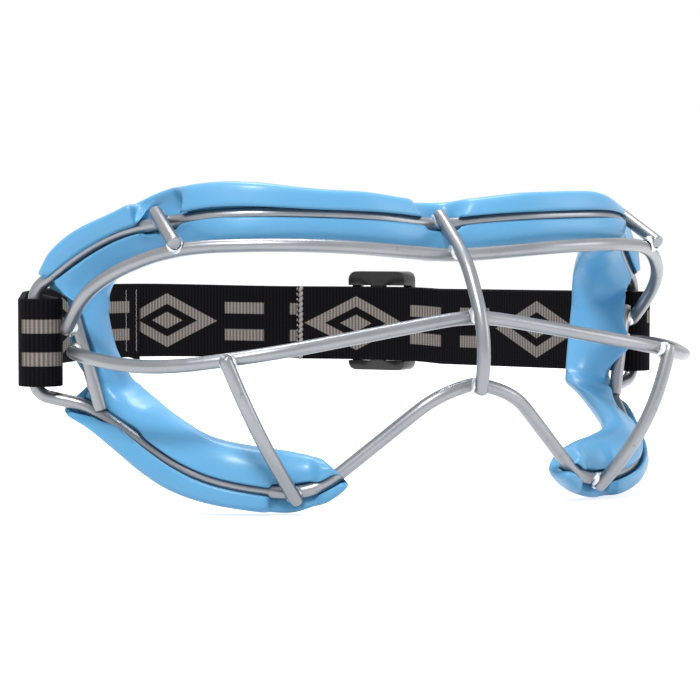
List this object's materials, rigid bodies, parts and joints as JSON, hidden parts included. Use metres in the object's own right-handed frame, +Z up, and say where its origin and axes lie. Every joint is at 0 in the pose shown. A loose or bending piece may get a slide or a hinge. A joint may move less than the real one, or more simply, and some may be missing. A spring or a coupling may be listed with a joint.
{
  "type": "lacrosse goggles",
  "caption": "Wire-cage sports goggles with a grooved, moulded face pad and an elastic strap that is doubled back through a slider.",
  "frame": {"origin": "midway between the temples at eye height, inside the wearer's head", "axes": "+Y from the front of the cage toward the back of the head, +Z up, +X toward the wearer's left"},
  "size_m": [0.1992, 0.2055, 0.0848],
  "materials": {
    "wire": "satin",
    "weld": "gloss",
    "pad": "satin",
    "webbing": "woven",
    "thread": "matte",
    "slider": "gloss"
  },
  "bodies": {
    "frame": {"ring_wire": "wire", "upper_wire": "wire", "middle_wire": "wire", "centre_bar": "wire", "upper_strut_left": "wire", "upper_strut_right": "wire", "lower_strut_left": "wire", "lower_strut_right": "wire", "temple_bar_left": "wire", "temple_bar_right": "wire", "centre_bar_welds": "weld", "upper_strut_welds_left": "weld", "upper_strut_welds_right": "weld", "lower_strut_welds_left": "weld", "lower_strut_welds_right": "weld", "temple_welds_left": "weld", "temple_welds_right": "weld", "face_pad": "pad"},
    "strap": {"strap_webbing": "webbing", "left_tail_stitches": "thread", "right_tail_overlock": "thread"},
    "slider": {"slider": "slider"}
  },
  "joints": [
    {"name": "strap_tilt", "type": "hinge", "parent": "frame", "child": "strap", "pos_m": [0, 0.04, 0], "axis": [1, 0, 0], "range_deg": [-7, 7]},
    {"name": "slider_travel", "type": "hinge", "parent": "strap", "child": "slider", "pos_m": [0, 0.09, 0], "axis": [0, 0, 1], "range_deg": [-9, 10]}
  ]
}
